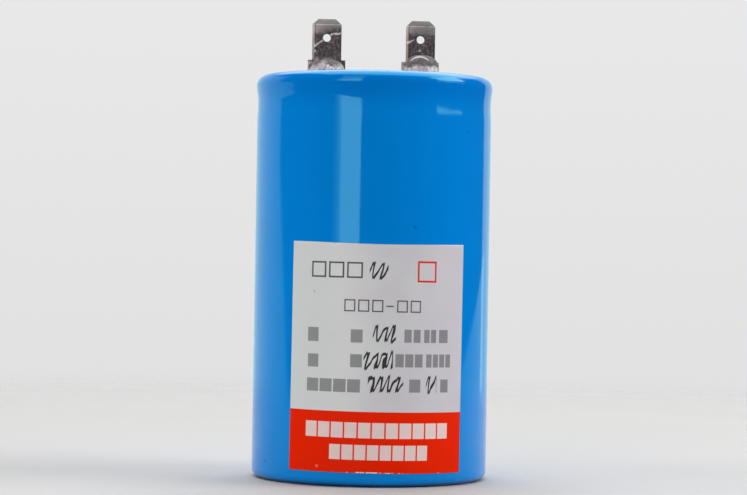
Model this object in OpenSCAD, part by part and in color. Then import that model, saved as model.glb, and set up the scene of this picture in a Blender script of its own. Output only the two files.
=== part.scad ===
// Round motor-run film capacitor. A wound film element is potted in a drawn aluminium can under a shrunk
// plastic sleeve, and a riveted lid carries two push-on terminals.
// Millimetres, +Z up, origin at the centre of the base.
// The label is on the -Y side, and the terminals lie along X.

/* [Case] */
// Diameter over the sleeve
case_d = 50.7; // [46:0.1:60]
// Height of the rim's crest above the base
case_h = 86.4; // [76:0.2:120]
// Wall of the drawn can
can_t = 0.5; // [0.3:0.05:0.7]
// Wall of the shrunk sleeve
sleeve_t = 0.3; // [0.2:0.05:0.5]
// Outside rounding where the wall turns into the rim
rim_r = 2.3; // [1.8:0.1:4]
// Flat width along the rim's crest
crest_w = 1.2; // [0.2:0.1:1.2]
// Outside rounding where the rim turns down onto the gasket
curl_r = 1.6; // [1.4:0.1:2]
// Outside rounding where the wall meets the base
base_r = 1.8; // [1.4:0.1:2.4]
// How far the sleeve's upper edge reaches past the crest
sleeve_overrun = 0.5; // [0:0.1:0.9]
// Width of the sleeve's lap under the base
sleeve_lap = 5; // [3:0.5:10]
// Gap left between round parts that fit closely
fit = 0.05; // [0.02:0.01:0.1]

/* [Rolled groove] */
// Depth of the groove rolled into the can under the lid
groove_depth = 0.9; // [0.5:0.1:1.4]
// Half the groove's height at the can's outside
groove_half_h = 1.8; // [1.4:0.1:2.2]
// Depth of the shallow waist that the sleeve shows over the groove
waist_depth = 0.12; // [0.05:0.01:0.3]
// Half the waist's height
waist_half_h = 3; // [2:0.1:4]
// How far the rim stands out past the wall above the waist
bead = 0.2; // [0:0.05:0.3]

/* [Label] */
// Width of the label, measured round the wall
label_w = 39.2; // [20:0.2:60]
// Height of the label
label_h = 47.6; // [20:0.2:60]
// Thickness of the label
label_t = 0.15; // [0.1:0.05:0.3]
// Height of the label's lower edge at its middle
label_z = 3; // [2.8:0.05:10]
// How far the label was put on askew, in degrees clockwise
label_tilt = 0.54; // [0:0.05:1.5]

/* [Lid and gasket] */
// Thickness of the lid's flange
flange_t = 2.2; // [1.8:0.1:3]
// Height of the lid's raised middle above the flange
land_h = 2; // [1.5:0.1:2.4]
// How far the lid's raised middle lies below the crest
land_drop = 0.6; // [0.3:0.1:1]
// Gap between the raised middle and the rim's inner edge
land_gap = 0.6; // [0.4:0.1:1.2]
// Gap between the flange and the can
lid_gap = 0.1; // [0.05:0.05:0.3]
// Thickness of the gasket under the rim's edge
gasket_t = 0.7; // [0.5:0.1:0.9]

/* [Terminals] */
// Distance between the two blades' middles
tab_pitch = 20.3; // [14:0.1:22]
// Sideways offset of the pair from the can's axis
pair_offset = -0.4; // [-1:0.1:1]
// Width of the push-on blade
tab_w = 6.3; // [4.8:0.1:6.5]
// Thickness of the terminal's metal
tab_t = 0.8; // [0.5:0.1:1]
// Length of the blade from its shoulders to its tip
tab_l = 8.9; // [7:0.1:10]
// Width across the shoulders
shoulder_w = 8.1; // [7.4:0.1:9]
// Height of the shoulders above the rim's crest
shoulder_rise = 3.5; // [3:0.1:6]
// Length of the foot, from the blade's middle to its front edge
foot_l = 8.4; // [7.6:0.1:9]
// Inside radius of the bend between blade and foot
bend_in_r = 0.5; // [0.3:0.1:0.8]
// Width of the cut at each corner of the tip
tip_cut_w = 1.2; // [0.6:0.1:1.6]
// Height of the cut at each corner of the tip
tip_cut_h = 1.3; // [0.6:0.1:1.8]
// Height of the bevel on each face of the tip
tip_bevel_h = 1.4; // [0.8:0.1:2]
// Thickness left at the very tip
tip_t = 0.35; // [0.2:0.05:0.45]
// Diameter of the catch hole
hole_d = 1.7; // [1.4:0.1:2.2]
// Distance of the catch hole's middle below the tip
hole_drop = 4.1; // [3.4:0.1:5]

/* [Eyelets and solder] */
// Distance of the eyelet's axis in front of the blade's middle
eyelet_reach = 4.4; // [4:0.1:4.8]
// Outside diameter of the eyelet's barrel
eyelet_d = 3; // [2.6:0.1:3.4]
// Wall of the eyelet
eyelet_t = 0.4; // [0.3:0.05:0.5]
// Diameter of the eyelet's two flanges
eyelet_flange_d = 4.8; // [4.2:0.1:5]
// Gap between the eyelet and the holes that it passes through
eyelet_gap = 0.1; // [0.05:0.05:0.2]
// Diameter of the washer under the lid
washer_d = 7; // [6:0.5:8]
// Thickness of the washer under the lid
washer_t = 0.5; // [0.3:0.1:1]
// Radius of a solder dome where it meets the foot
dome_r = 3.95; // [3.4:0.05:4]
// Distance of a dome's middle in front of the blade's middle
dome_reach = 3.9; // [3.6:0.1:4.2]
// Height of the left solder dome above the foot
dome_left_h = 3.5; // [2.4:0.1:5]
// Height of the right solder dome above the foot
dome_right_h = 4.9; // [2.4:0.1:5]

/* [Winding] */
// Width of the resin gap between the winding and the liner
resin_gap = 2.2; // [1:0.1:4]
// Space between the winding's upper face and the lid
headroom = 11.2; // [10.5:0.1:16]
// Outside diameter of the winding's core tube
core_d = 8.4; // [7:0.1:12]
// Wall of the core tube
core_t = 1; // [0.6:0.1:1.4]
// Thickness of the sprayed metal on each end of the winding
spray_t = 0.6; // [0.3:0.1:1]
// Depth of resin over the winding
resin_over = 5.6; // [5.2:0.1:6]

/* [Liner and base insulator] */
// Thickness of the liner between the resin and the can
liner_t = 0.4; // [0.2:0.1:0.8]
// How far the liner stands above the resin
liner_over = 0.5; // [0.2:0.1:0.8]
// Thickness of the base insulator
insulator_t = 1.2; // [1.2:0.1:2]
// Height of the ribs that hold the winding off the base insulator
rib_h = 2; // [1.8:0.1:4]
// Width of each rib
rib_w = 2; // [1:0.1:3]
// Number of ribs
rib_count = 4; // [3:1:4]

/* [Leads] */
// Diameter of the bare lead wire
wire_d = 1; // [0.8:0.1:1.2]
// Diameter over the lead's insulating tube
tube_d = 2; // [1.8:0.1:2.4]
// Radius of a lead's bends, at its middle
lead_bend_r = 2.5; // [2.2:0.1:2.8]
// Height of the crossing lead above the winding
lead_cross_h = 3.8; // [3.6:0.1:4]
// Length of lead laid on a sprayed end
lead_laid_l = 3.4; // [2.6:0.1:4]
// Length of lead standing in the solder above the eyelet
lead_stand_l = 0.8; // [0.4:0.1:1.2]
// Radius of the solder joint on a sprayed end
joint_r = 2.4; // [2:0.1:3]
// Height of the solder joint on a sprayed end
joint_h = 1.5; // [1.4:0.1:1.7]

/* [Hidden] */
$fn = 96;

// A length longer than the part, for cuts that run right through,
// and how far short cuts run past what they cut
far = case_h + case_d;
past = fit;

// Insets of the can's outside, its inside and the gasket from the sleeve's outside
case_r = case_d / 2;
can_inset = sleeve_t + fit;
hollow_inset = can_inset + can_t;
can_in_r = case_r - hollow_inset;

// Rim, from the crest inwards and down
rim_out_r = case_r + bead;
curl_in_r = rim_out_r - rim_r - crest_w - curl_r;
sleeve_edge_r = curl_in_r + curl_r - sleeve_overrun;
land_z = case_h - land_drop;
flange_z = land_z - land_h;
curl_edge_z = flange_z + gasket_t;
lid_z = flange_z - flange_t;

// Lid, seated on the inside of the rolled groove
lid_r = can_in_r - waist_depth - lid_gap;
land_r = curl_in_r + can_inset - land_gap;
groove_r = (groove_half_h * groove_half_h + groove_depth * groove_depth) / (2 * groove_depth);
groove_axis_r = case_r - can_inset - groove_depth + groove_r;
seat_r = groove_r + can_t;
groove_z = lid_z - sqrt(seat_r * seat_r - (groove_axis_r - lid_r) * (groove_axis_r - lid_r)) - fit;
waist_r = (waist_half_h * waist_half_h + waist_depth * waist_depth) / (2 * waist_depth);

// Terminals
tip_z = case_h + shoulder_rise + tab_l;
foot_top_z = land_z + tab_t;
left_x = pair_offset - tab_pitch / 2;
right_x = pair_offset + tab_pitch / 2;

// Eyelets, from the flange on the foot to the flange under the washer
eyelet_r = eyelet_d / 2;
eyelet_hole_r = eyelet_r + eyelet_gap;
eyelet_top_z = foot_top_z + eyelet_t;
washer_z = lid_z - washer_t;
eyelet_low_z = washer_z - eyelet_t;

// Stack inside the can, from the base up
floor_z = hollow_inset;
insulator_top_z = floor_z + insulator_t;
winding_low_z = insulator_top_z + rib_h;
winding_top_z = lid_z - headroom;
winding_r = can_in_r - fit - liner_t - resin_gap;
core_r = core_d / 2;
resin_top_z = winding_top_z + resin_over;
resin_r = can_in_r - 2 * fit - liner_t;

// Leads: distance and direction of each eyelet from the axis
wire_r = wire_d / 2;
tube_r = tube_d / 2;
left_run = norm([left_x, eyelet_reach]);
right_run = norm([right_x, eyelet_reach]);
left_turn = atan2(eyelet_reach, -left_x);
right_turn = atan2(eyelet_reach, -right_x);
lead_top_z = eyelet_top_z + lead_stand_l;
laid_top_z = winding_top_z + wire_r + fit;
laid_low_z = winding_low_z - wire_r - fit;
cross_z = winding_top_z + lead_cross_h;
tube_high_z = eyelet_low_z - fit;

// Ring between two heights
module ring(outer_r, inner_r, low_z, high_z) {
    difference() {
        translate([0, 0, low_z]) cylinder(r = outer_r, h = high_z - low_z);
        translate([0, 0, low_z - past]) cylinder(r = inner_r, h = high_z - low_z + 2 * past);
    }
}

// Cap of a sphere standing on z = 0
module cap(base_r, h) {
    ball_r = (base_r * base_r + h * h) / (2 * h);
    intersection() {
        translate([0, 0, h - ball_r]) sphere(r = ball_r);
        translate([0, 0, h / 2]) cube([4 * ball_r, 4 * ball_r, h], center = true);
    }
}

// Half-section of the case as if the rim closed over, all of it set in from the sleeve's outside
module closed_section(inset) {
    difference() {
        union() {
            translate([0, inset]) square([case_r - base_r, groove_z - inset]);
            translate([0, base_r]) square([case_r - inset, groove_z - base_r]);
            translate([case_r - base_r, base_r]) circle(r = base_r - inset);
            translate([0, groove_z]) square([rim_out_r - inset, case_h - rim_r - groove_z]);
            translate([0, groove_z]) square([rim_out_r - rim_r, case_h - inset - groove_z]);
            translate([rim_out_r - rim_r, case_h - rim_r]) circle(r = rim_r - inset);
        }
        translate([case_r - waist_depth + waist_r, groove_z]) circle(r = waist_r + inset, $fn = 720);
        translate([-far, -far]) square([far, 3 * far]);
    }
}

// Half-section of the case with the opening inside the rim
module case_section(inset) {
    intersection() {
        closed_section(inset);
        union() {
            square([far, curl_edge_z]);
            translate([curl_in_r + inset, 0]) square([far, case_h - curl_r]);
            translate([curl_in_r + curl_r, 0]) square([far, case_h]);
            translate([curl_in_r + curl_r, case_h - curl_r]) circle(r = curl_r - inset);
        }
    }
}

module aluminium_can() {
    color([0.8, 0.81, 0.83])
    rotate_extrude()
    difference() {
        case_section(can_inset);
        translate([groove_axis_r, groove_z]) circle(r = groove_r);
        difference() {
            case_section(hollow_inset);
            translate([groove_axis_r, groove_z]) circle(r = seat_r);
        }
    }
}

module shrink_sleeve() {
    color([0.0, 0.44, 0.76])
    rotate_extrude()
    difference() {
        case_section(0);
        case_section(sleeve_t);
        square([case_r - sleeve_lap, groove_z]);
        translate([0, groove_z]) square([sleeve_edge_r, case_h]);
    }
}

// The label is the part of a thin shell that lies inside a slightly tilted wedge
module type_label() {
    wrap = label_w / case_r * 180 / PI;
    middle_z = label_z + label_h / 2;
    color([0.74, 0.74, 0.75])
    intersection() {
        ring(case_r + label_t, case_r, 0, case_h);
        translate([0, 0, middle_z])
        rotate([0, label_tilt, 0])
        rotate([0, 0, -90 - wrap / 2])
        translate([0, 0, -label_h / 2])
        rotate_extrude(angle = wrap)
        square([case_d, label_h]);
    }
}

module at_eyelets() {
    translate([left_x, -eyelet_reach, 0]) children();
    translate([right_x, -eyelet_reach, 0]) children();
}

module lid() {
    color([0.2, 0.13, 0.1])
    difference() {
        union() {
            translate([0, 0, lid_z]) cylinder(r = lid_r, h = flange_t);
            translate([0, 0, lid_z]) cylinder(r = land_r, h = flange_t + land_h);
        }
        at_eyelets() translate([0, 0, lid_z - past]) cylinder(r = eyelet_hole_r, h = far);
    }
}

module lid_gasket() {
    color([0.1, 0.1, 0.1])
    rotate_extrude()
    intersection() {
        case_section(hollow_inset + fit);
        translate([land_r + fit, flange_z]) square([far, far]);
    }
}

// Side view of the folded strip, with the blade's middle plane at 0
module terminal_profile() {
    bend_out_r = bend_in_r + tab_t;
    bend_y = tab_t / 2 - bend_out_r;
    bend_z = land_z + bend_out_r;
    translate([-foot_l, land_z]) square([foot_l + bend_y, tab_t]);
    translate([bend_y, bend_z])
    intersection() {
        difference() {
            circle(r = bend_out_r);
            circle(r = bend_in_r);
        }
        translate([0, -bend_out_r]) square(bend_out_r);
    }
    difference() {
        translate([-tab_t / 2, bend_z]) square([tab_t, tip_z - bend_z]);
        for (side = [-1, 1])
        polygon([
            [side * tip_t / 2, tip_z],
            [side * tip_t / 2, tip_z + past],
            [side * tab_t, tip_z + past],
            [side * tab_t, tip_z - tip_bevel_h],
            [side * tab_t / 2, tip_z - tip_bevel_h]
        ]);
    }
}

// Front view of the blade and its shoulders, with the corners of the tip cut off
module terminal_front() {
    shoulder_z = tip_z - tab_l;
    polygon([
        [-shoulder_w / 2, land_z - past],
        [-shoulder_w / 2, shoulder_z],
        [-tab_w / 2, shoulder_z],
        [-tab_w / 2, tip_z - tip_cut_h],
        [-tab_w / 2 + tip_cut_w, tip_z],
        [tab_w / 2 - tip_cut_w, tip_z],
        [tab_w / 2, tip_z - tip_cut_h],
        [tab_w / 2, shoulder_z],
        [shoulder_w / 2, shoulder_z],
        [shoulder_w / 2, land_z - past]
    ]);
}

// Folded strip before it is pierced, centred on x = 0
module terminal_blank() {
    intersection() {
        translate([-shoulder_w, 0, 0])
        rotate([90, 0, 90])
        linear_extrude(2 * shoulder_w) terminal_profile();
        translate([0, tab_t, 0])
        rotate([90, 0, 0])
        linear_extrude(foot_l + 2 * tab_t) terminal_front();
    }
}

module terminal(x) {
    color([0.62, 0.61, 0.6])
    translate([x, 0, 0])
    difference() {
        terminal_blank();
        translate([0, tab_t, tip_z - hole_drop]) rotate([90, 0, 0]) cylinder(d = hole_d, h = 2 * tab_t);
        translate([0, -eyelet_reach, land_z - past]) cylinder(r = eyelet_hole_r, h = tab_t + 2 * past);
    }
}

module eyelet(x) {
    color([0.7, 0.66, 0.58])
    translate([x, -eyelet_reach, 0])
    difference() {
        union() {
            translate([0, 0, eyelet_low_z]) cylinder(r = eyelet_r, h = eyelet_top_z - eyelet_low_z);
            translate([0, 0, foot_top_z]) cylinder(d = eyelet_flange_d, h = eyelet_t);
            translate([0, 0, eyelet_low_z]) cylinder(d = eyelet_flange_d, h = eyelet_t);
        }
        translate([0, 0, eyelet_low_z - past]) cylinder(r = eyelet_r - eyelet_t, h = far);
    }
}

module washer(x) {
    color([0.72, 0.72, 0.7])
    translate([x, -eyelet_reach, 0])
    ring(washer_d / 2, eyelet_hole_r, washer_z, lid_z);
}

// Solder runs up the blade's face, covers the eyelet's flange and fills its bore round the lead
module solder_dome(x, h) {
    color([0.68, 0.67, 0.66])
    translate([x, 0, 0])
    difference() {
        union() {
            difference() {
                translate([0, -dome_reach, foot_top_z]) cap(dome_r, h);
                terminal_blank();
                translate([0, -eyelet_reach, foot_top_z]) cylinder(d = eyelet_flange_d, h = eyelet_t);
                translate([-far / 2, -tab_t / 2, 0]) cube([far, far, far]);
            }
            translate([0, -eyelet_reach, eyelet_low_z])
            cylinder(r = eyelet_r - eyelet_t, h = eyelet_top_z - eyelet_low_z + lead_stand_l / 2);
        }
        translate([0, -eyelet_reach, eyelet_low_z - past])
        cylinder(r = wire_r, h = lead_top_z - eyelet_low_z + past);
    }
}

module film_element() {
    color([0.83, 0.82, 0.74])
    ring(winding_r, core_r + fit, winding_low_z + spray_t, winding_top_z - spray_t);
}

module winding_core() {
    color([0.9, 0.9, 0.88])
    ring(core_r, core_r - core_t, winding_low_z, winding_top_z);
}

module end_spray_top() {
    color([0.55, 0.56, 0.57])
    ring(winding_r, core_r + fit, winding_top_z - spray_t, winding_top_z);
}

module end_spray_bottom() {
    color([0.55, 0.56, 0.57])
    ring(winding_r, core_r + fit, winding_low_z, winding_low_z + spray_t);
}

// Quarter bend that comes down to the origin and turns to +X
module bend_out(r) {
    translate([lead_bend_r, 0, 0])
    rotate([90, 0, 0])
    rotate([0, 0, 180])
    rotate_extrude(angle = 90)
    translate([lead_bend_r, 0]) circle(r = r);
}

// Quarter bend that leaves the origin along +X and turns down
module bend_down(r) {
    translate([0, 0, -lead_bend_r])
    rotate([90, 0, 0])
    rotate_extrude(angle = 90)
    translate([lead_bend_r, 0]) circle(r = r);
}

// Straight stretch along +X from the origin
module run_out(r, l) {
    rotate([0, 90, 0]) cylinder(r = r, h = l);
}

// Straight stretch standing between two heights
module run_up(r, low_z, high_z) {
    translate([0, 0, low_z]) cylinder(r = r, h = high_z - low_z);
}

// Each lead is drawn in a plane of its own: it starts at its eyelet,
// and +X points from there to the can's axis
module at_left_lead() {
    translate([left_x, -eyelet_reach, 0]) rotate([0, 0, left_turn]) children();
}

module at_right_lead() {
    translate([right_x, -eyelet_reach, 0]) rotate([0, 0, right_turn]) children();
}

// Stretch of the left lead that lies on the winding's upper face
module laid_top(r) {
    translate([0, 0, laid_top_z + lead_bend_r]) bend_out(r);
    translate([lead_bend_r, 0, laid_top_z]) run_out(r, lead_laid_l);
}

// Stretch of the right lead that lies under the winding
module laid_low(r) {
    translate([right_run, 0, laid_low_z + lead_bend_r]) bend_out(r);
    translate([right_run + lead_bend_r, 0, laid_low_z]) run_out(r, core_r + lead_laid_l);
}

// Stretch of the right lead that crosses to the axis and goes down through the core
module crossing(r, high_z, low_z) {
    run_up(r, cross_z + lead_bend_r, high_z);
    translate([0, 0, cross_z + lead_bend_r]) bend_out(r);
    translate([lead_bend_r, 0, cross_z]) run_out(r, right_run - 2 * lead_bend_r);
    translate([right_run - lead_bend_r, 0, cross_z]) bend_down(r);
    translate([right_run, 0, 0]) run_up(r, low_z, cross_z - lead_bend_r);
}

module lead_top() {
    color([0.78, 0.76, 0.72])
    at_left_lead() {
        run_up(wire_r, laid_top_z + lead_bend_r, lead_top_z);
        laid_top(wire_r);
    }
}

module lead_bottom() {
    color([0.78, 0.76, 0.72])
    at_right_lead() {
        crossing(wire_r, lead_top_z, laid_low_z + lead_bend_r);
        laid_low(wire_r);
    }
}

module lead_tube_top() {
    color([0.85, 0.84, 0.8])
    at_left_lead()
    ring(tube_r, wire_r + fit, laid_top_z + lead_bend_r + fit, tube_high_z);
}

module lead_tube_bottom() {
    tube_low_z = laid_low_z + lead_bend_r + fit;
    color([0.85, 0.84, 0.8])
    at_right_lead()
    difference() {
        crossing(tube_r, tube_high_z, tube_low_z);
        crossing(wire_r + fit, tube_high_z + past, tube_low_z - past);
    }
}

// Caps of solder over the end of each laid lead, each drawn in its lead's plane
module joint_cap_top() {
    translate([lead_bend_r + lead_laid_l - joint_r / 2, 0, winding_top_z]) cap(joint_r, joint_h);
}

module joint_cap_bottom() {
    translate([right_run + lead_bend_r + core_r + lead_laid_l - joint_r / 2, 0, winding_low_z])
    mirror([0, 0, 1])
    cap(joint_r, joint_h);
}

module solder_joint_top() {
    color([0.68, 0.67, 0.66])
    at_left_lead()
    difference() {
        joint_cap_top();
        laid_top(wire_r);
    }
}

module solder_joint_bottom() {
    color([0.68, 0.67, 0.66])
    at_right_lead()
    difference() {
        joint_cap_bottom();
        laid_low(wire_r);
    }
}

// Resin fills the liner round the winding, the leads and the ribs, and the core's bore
module resin_fill() {
    color([0.9, 0.86, 0.7, 0.9])
    difference() {
        translate([0, 0, insulator_top_z]) cylinder(r = resin_r, h = resin_top_z - insulator_top_z);
        ring(winding_r, core_r - core_t, winding_low_z, winding_top_z);
        insulator_ribs();
        at_left_lead() {
            run_up(tube_r, laid_top_z + lead_bend_r, far);
            laid_top(wire_r);
            joint_cap_top();
        }
        at_right_lead() {
            crossing(tube_r, far, laid_low_z + lead_bend_r);
            laid_low(wire_r);
            joint_cap_bottom();
        }
    }
}

module can_liner() {
    color([0.93, 0.92, 0.86])
    ring(can_in_r - fit, can_in_r - fit - liner_t, insulator_top_z, resin_top_z + liner_over);
}

// Ribs stand clear of the lead that runs under the winding
module insulator_ribs() {
    for (i = [0 : rib_count - 1])
    rotate([0, 0, right_turn + (i + 0.5) * 360 / rib_count])
    translate([core_r, -rib_w / 2, insulator_top_z])
    cube([winding_r - core_r, rib_w, rib_h]);
}

module base_insulator() {
    insulator_r = can_in_r - fit;
    corner_r = base_r - hollow_inset;
    color([0.88, 0.88, 0.86])
    union() {
        rotate_extrude()
        union() {
            translate([0, floor_z]) square([insulator_r - corner_r, insulator_t]);
            translate([0, floor_z + corner_r]) square([insulator_r, insulator_t - corner_r]);
            translate([insulator_r - corner_r, floor_z + corner_r])
            intersection() {
                circle(r = corner_r);
                translate([0, -corner_r]) square(corner_r);
            }
        }
        insulator_ribs();
    }
}

aluminium_can();
shrink_sleeve();
type_label();
lid();
lid_gasket();
terminal(left_x);  // terminal_left
terminal(right_x);  // terminal_right
eyelet(left_x);  // eyelet_left
eyelet(right_x);  // eyelet_right
washer(left_x);  // washer_left
washer(right_x);  // washer_right
solder_dome(left_x, dome_left_h);  // solder_dome_left
solder_dome(right_x, dome_right_h);  // solder_dome_right
film_element();
winding_core();
end_spray_top();
end_spray_bottom();
lead_top();
lead_bottom();
lead_tube_top();
lead_tube_bottom();
solder_joint_top();
solder_joint_bottom();
resin_fill();
can_liner();
base_insulator();
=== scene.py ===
"""The looks of a film capacitor: a glossy shrunk sleeve, a printed label, tinned blades and solder domes,
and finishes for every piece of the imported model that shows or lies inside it."""

import math
from contextlib import contextmanager

import bmesh
import bpy
from mathutils import Matrix, Quaternion, Vector


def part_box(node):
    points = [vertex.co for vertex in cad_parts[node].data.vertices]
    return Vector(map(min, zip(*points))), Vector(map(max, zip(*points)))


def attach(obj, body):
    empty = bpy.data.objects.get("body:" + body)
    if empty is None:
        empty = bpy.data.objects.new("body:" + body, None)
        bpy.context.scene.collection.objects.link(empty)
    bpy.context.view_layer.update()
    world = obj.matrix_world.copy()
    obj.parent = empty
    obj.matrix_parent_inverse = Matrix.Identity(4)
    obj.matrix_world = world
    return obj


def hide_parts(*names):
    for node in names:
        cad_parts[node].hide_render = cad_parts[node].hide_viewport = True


MM = 0.001
UP = Vector((0, 0, 1))

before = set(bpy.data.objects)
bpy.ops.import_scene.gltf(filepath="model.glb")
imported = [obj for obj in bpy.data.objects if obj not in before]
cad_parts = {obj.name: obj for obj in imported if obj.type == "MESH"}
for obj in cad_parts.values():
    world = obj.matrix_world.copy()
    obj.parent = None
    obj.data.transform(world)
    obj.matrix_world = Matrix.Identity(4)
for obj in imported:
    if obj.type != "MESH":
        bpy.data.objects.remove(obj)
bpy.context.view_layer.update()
bpy.ops.object.select_all(action="DESELECT")


# ---------------------------------------------------------------- sizes

# Case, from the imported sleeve
SLEEVE_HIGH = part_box("shrink_sleeve")[1]
BEAD = 0.2 * MM
RIM_OUT_R = SLEEVE_HIGH.x
CASE_R = RIM_OUT_R - BEAD
CREST_Z = SLEEVE_HIGH.z
SLEEVE_T = 0.3 * MM
RIM_R = 2.3 * MM
CREST_FLAT = 1.2 * MM
CURL_R = 1.6 * MM
OVERRUN = 0.5 * MM
BASE_R = 1.8 * MM
LAP = 5 * MM

# Waist over the rolled groove
WAIST_Z = CREST_Z - 6.0 * MM
WAIST_BELOW = 4.2 * MM
WAIST_DEPTH = 0.12 * MM
WAIST_SPREAD = 4 * MM
FLARE_LEAN = math.radians(5)
FLARE_TOP_Z = CREST_Z - RIM_R * (1 + math.sin(FLARE_LEAN))
FLARE_TOP_R = RIM_OUT_R - RIM_R * (1 - math.cos(FLARE_LEAN))

# Rows of faces up the wall, below and above the place where the waist begins to spread
WALL_ROWS = 60
WAIST_ROWS = 40

# Unevenness of the shrunk sleeve
LONG_WAVE_SIZE = 16 * MM
LONG_WAVE_DEPTH = 0.01 * MM
WAIST_WAVE_SIZE = 4 * MM
WAIST_WAVE_DEPTH = 0.05 * MM
DENT_DROP = 1.1 * MM
DENT_H = 2.4 * MM
DENT_TURN = -0.15
DENT_SWEEP = 0.22
DENT_DEPTH = 0.075 * MM
PLEAT_SIZE = 1.6 * MM
PLEAT_DEPTH = 0.12 * MM
PLEAT_REACH = 3 * MM

# Label
LABEL_W = 39.2 * MM
LABEL_H = 47.6 * MM
LABEL_Z = 3 * MM
LABEL_T = 0.12 * MM
LABEL_TILT = math.radians(0.54)
LABEL_DIP = 0.3 * MM
LABEL_SPARE = 2 * MM
LABEL_ROWS = 48
RED_TOP = 12.65 * MM

# Terminals
TAB_T = 0.8 * MM
TAB_W = 6.3 * MM
TAB_L = 8.9 * MM
TIP_T = 0.35 * MM
TIP_BEVEL_H = 1.2 * MM
TIP_CUT_W = 1.3 * MM
TIP_CUT_H = 1.15 * MM
BEND_IN_R = 0.5 * MM
EDGE_BEVEL = 0.07 * MM
HOLE_D = 1.7 * MM
HOLE_DROP = 4.1 * MM
FOOT_HOLE_D = 3.2 * MM

# Solder domes
DOME_FIT = 0.97
DOME_SQUARENESS = 0.7
DOME_SLACK = 0.3 * MM
DOME_ROWS = 24
DOME_VOXEL = 0.09 * MM
LUMP_SIZE = 1.2 * MM
LUMP_DEPTH = 0.25 * MM
GRIT_SIZE = 0.45 * MM
GRIT_DEPTH = 0.07 * MM

# Camera
VIEW_TURN = math.radians(4.1)
VIEW_FAR = 539.5 * MM
VIEW_HIGH = 49.6 * MM
VIEW_ASIDE = 0.29 * MM
VIEW_ROLL = 0.0165
VIEW_LENS = 120.2
SENSOR_WIDTH = 36

# Table top
TABLE_R = 0.45


# ---------------------------------------------------------------- colours

def rgb(red, green, blue):
    """A colour, in linear light."""
    return (red, green, blue, 1)


# Sleeve
BLUE = rgb(0.0, 0.252, 0.785)
BLUE_LIGHT = rgb(0.0, 0.262, 0.815)
BLUE_RIM_SHADE = rgb(0.0, 0.222, 0.745)
BLUE_FOOT_SHADE = rgb(0.0, 0.03, 0.12)
BLUE_SPECK = rgb(0.01, 0.07, 0.2)
BLUE_MARK = rgb(0.0, 0.10, 0.35)
BLUE_GLOSS = rgb(0.22, 0.96, 0.72)

# Label
SHEEN_SILVER_LEFT = rgb(0.755, 0.815, 0.80)
SHEEN_SILVER_RIGHT = rgb(0.685, 0.655, 0.715)
SILVER_GRAIN = rgb(0.66, 0.66, 0.66)
BLOCK_INK = rgb(0.05, 0.05, 0.055)
LINE_INK = rgb(0.03, 0.03, 0.03)
PEN_INK = rgb(0.012, 0.012, 0.014)
SQUARE_RED = rgb(0.80, 0.03, 0.01)
RED = rgb(0.92, 0.020, 0.0)
RED_LIGHT = rgb(0.95, 0.023, 0.0)
PALE_PRINT = rgb(0.92, 0.80, 0.76)
PINK_RING = rgb(0.95, 0.45, 0.4)
LABEL_EDGE_HIGHLIGHT = rgb(0.98, 0.98, 0.98)
FAINT_GREY = rgb(0.2, 0.2, 0.2)
BARE_PAPER = rgb(0.9, 0.88, 0.86)

# Blades
TIN_DARK = rgb(0.29, 0.292, 0.29)
TIN_LIGHT = rgb(0.395, 0.40, 0.395)
TARNISH_DARK = rgb(0.072, 0.064, 0.072)
TARNISH_LIGHT = rgb(0.25, 0.238, 0.245)
TARNISH_STREAK = rgb(0.062, 0.053, 0.060)
SHOULDER_TIN = rgb(0.50, 0.47, 0.47)
BEVEL_SHADE_TIN = rgb(0.10, 0.105, 0.11)
TIN_EDGE_HIGHLIGHT = rgb(0.54, 0.53, 0.47)
GROOVE_SHADE_TIN = rgb(0.03, 0.026, 0.03)
RIDGE_HIGHLIGHT_TIN = rgb(0.85, 0.83, 0.76)
SCRATCH_TIN = rgb(0.92, 0.90, 0.88)

# Solder domes
FLUX = rgb(0.085, 0.066, 0.066)
CROWN_SHADE = rgb(0.08, 0.072, 0.076)
PAINTED_GLINT = rgb(0.95, 0.93, 0.93)

# Studio
CLOTH_DARK = rgb(0.495, 0.492, 0.492)
CLOTH_LIGHT = rgb(0.53, 0.526, 0.528)
ROOM_BLACK = rgb(0, 0, 0)
ROOM_WHITE = rgb(1, 1, 1)
SWEEP_GLOSS = rgb(0.77, 0.96, 0.86)
CEILING_GLOSS = rgb(4.2, 4.3, 4.0)
BACKDROP_HIGH = rgb(0.835, 0.832, 0.838)
BACKDROP_LOW = rgb(0.745, 0.742, 0.748)


# ---------------------------------------------------------------- making meshes

@contextmanager
def editing(piece):
    """Edit mode on one piece, with nothing selected in it."""
    bpy.ops.object.select_all(action="DESELECT")
    piece.select_set(True)
    bpy.context.view_layer.objects.active = piece
    bpy.ops.object.mode_set(mode="EDIT")
    bpy.ops.mesh.select_mode(type="VERT")
    bpy.ops.mesh.select_all(action="DESELECT")
    yield
    bpy.ops.object.mode_set(mode="OBJECT")
    piece.select_set(False)


def primitive(kind, name, **settings):
    """A primitive of that kind, as the start of a piece."""
    getattr(bpy.ops.mesh, f"primitive_{kind}_add")(**settings)
    piece = bpy.context.object
    piece.name = piece.data.name = name
    bpy.ops.object.transform_apply(location=True, rotation=True, scale=True)
    piece.select_set(False)
    return piece


def pick_faces(piece, test):
    """Selects the faces whose middle and normal pass the test, in edit mode."""
    bpy.ops.mesh.select_all(action="DESELECT")
    mesh = bmesh.from_edit_mesh(piece.data)
    for face in mesh.faces:
        if test(face.calc_center_median(), face.normal):
            face.select_set(True)
    bmesh.update_edit_mesh(piece.data)


def extrude(move):
    """Extrudes what is selected, in edit mode."""
    bpy.ops.mesh.extrude_region_move(TRANSFORM_OT_translate={"value": move})


def cut(point, normal, **settings):
    """Bisects all of the piece in edit mode, along a plane."""
    bpy.ops.mesh.select_all(action="SELECT")
    bpy.ops.mesh.bisect(plane_co=point, plane_no=normal, threshold=1e-7, **settings)
    bpy.ops.mesh.select_all(action="DESELECT")


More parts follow.
